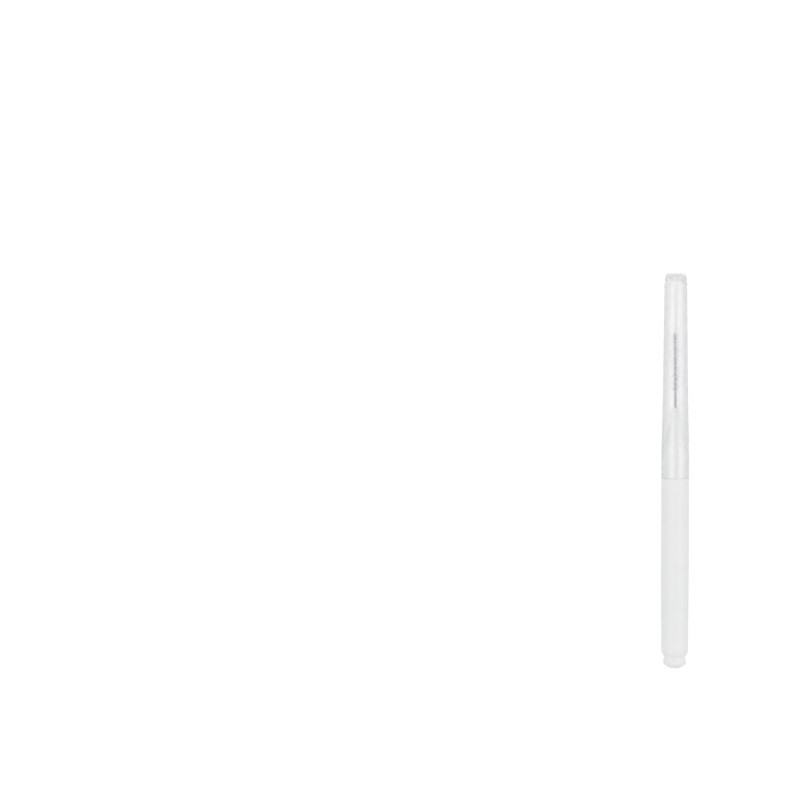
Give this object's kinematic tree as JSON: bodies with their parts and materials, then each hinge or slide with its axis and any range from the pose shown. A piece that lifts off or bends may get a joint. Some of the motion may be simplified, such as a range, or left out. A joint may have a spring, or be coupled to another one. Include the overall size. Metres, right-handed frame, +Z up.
{
  "type": "interdental brush",
  "caption": "Slim round handle holding a small twisted-wire bristle brush on a tapered nose, under a clear pull-off cap.",
  "frame": {"origin": "on the surface that the brush lies on, under the middle of its length", "axes": "+Y along the brush from the rear post to the closed end of the cap, +Z up, +X to the right seen from above"},
  "size_m": [0.0062, 0.088, 0.0061],
  "materials": {
    "white_moulding": "satin white polypropylene, injection moulded",
    "clear_moulding": "clear polypropylene, injection moulded, glossy",
    "steel_wire": "drawn stainless wire, bright",
    "nylon_filament": "colourless extruded nylon filament"
  },
  "bodies": {
    "handle": {"handle": "white_moulding", "wire": "steel_wire", "bristles": "nylon_filament"},
    "cap": {"cap": "clear_moulding"}
  },
  "joints": [
    {"name": "cap_pull", "type": "slide", "parent": "handle", "child": "cap", "axis": [0, 1, 0], "range_m": [0, 0.045]}
  ]
}
